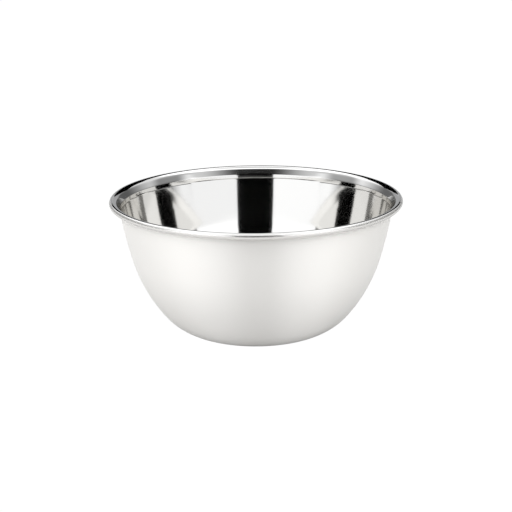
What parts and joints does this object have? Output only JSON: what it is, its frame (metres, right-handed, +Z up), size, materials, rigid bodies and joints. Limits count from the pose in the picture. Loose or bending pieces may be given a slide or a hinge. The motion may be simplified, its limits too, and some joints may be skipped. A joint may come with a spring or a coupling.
{
  "type": "mixing bowl",
  "caption": "Round stainless steel mixing bowl: flat foot, curved side, short collar, flared lip and a bead rolled outwards round a wire.",
  "frame": {"origin": "centre of the foot, on the surface that the bowl stands on", "axes": "+Z up, along the bowl's axis of revolution; +X and +Y are any two directions square to it"},
  "size_m": [0.254, 0.254, 0.1195],
  "materials": {
    "stainless_sheet": "satin outside, mirror polished inside and on the lip and bead",
    "steel_wire": "drawn wire, bright"
  },
  "bodies": {
    "root": {"bowl_shell": "stainless_sheet", "rim_wire": "steel_wire"}
  },
  "joints": []
}
